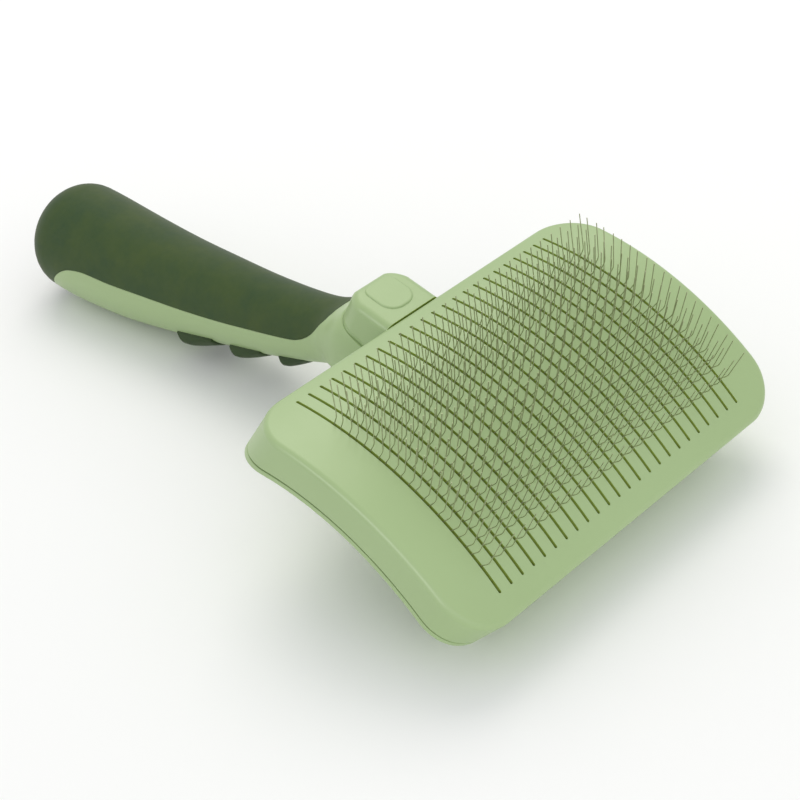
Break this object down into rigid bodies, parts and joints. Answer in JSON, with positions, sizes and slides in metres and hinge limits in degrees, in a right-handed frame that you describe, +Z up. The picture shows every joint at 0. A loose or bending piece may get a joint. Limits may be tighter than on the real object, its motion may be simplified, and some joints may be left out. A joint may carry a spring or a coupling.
{
  "type": "slicker brush",
  "caption": "Self-cleaning slicker brush with bent wire pins standing from a curved slotted head, a neck button that retracts them, and a rubber-covered handle.",
  "frame": {"origin": "centre of the bounding box, on the surface the brush lies on, pins up", "axes": "+X from the handle to the far edge of the head, +Y along the head, +Z up; the head's own frame is tipped about +Y by the angle the brush rests at"},
  "size_m": [0.214, 0.116, 0.0558],
  "materials": {
    "shell": "satin light green",
    "core": "satin",
    "carrier": "satin",
    "grip": "soft matt dark green",
    "rib": "soft matt dark green",
    "pad": "soft matt olive",
    "pin": "drawn wire",
    "spring": "drawn wire",
    "screw": "plain"
  },
  "bodies": {
    "brush_body": {"face_shell": "shell", "back_cover": "shell", "head_screws": "screw", "handle_shell": "shell", "handle_core": "core", "handle_screws": "screw", "grip": "grip", "return_spring": "spring", "finger_rib_1": "rib", "finger_rib_2": "rib", "finger_rib_3": "rib"},
    "pin_carriage": {"pin_carrier": "carrier", "pin_pad": "pad", "button": "shell", "button_screws": "screw", "pin_row_01": "pin", "pin_row_02": "pin", "pin_row_03": "pin", "pin_row_04": "pin", "pin_row_05": "pin", "pin_row_06": "pin", "pin_row_07": "pin", "pin_row_08": "pin", "pin_row_09": "pin", "pin_row_10": "pin", "pin_row_11": "pin", "pin_row_12": "pin", "pin_row_13": "pin", "pin_row_14": "pin", "pin_row_15": "pin", "pin_row_16": "pin", "pin_row_17": "pin", "pin_row_18": "pin", "pin_row_19": "pin", "pin_row_20": "pin", "pin_row_21": "pin", "pin_row_22": "pin", "pin_row_23": "pin", "pin_row_24": "pin"}
  },
  "joints": [
    {"name": "pin_retract", "type": "slide", "parent": "brush_body", "child": "pin_carriage", "axis": [-0.382, 0, -0.9242], "range_m": [0, 0.0124], "stiffness_N_per_m": 300, "springref_m": -0.01, "deforming": ["return_spring"]}
  ]
}
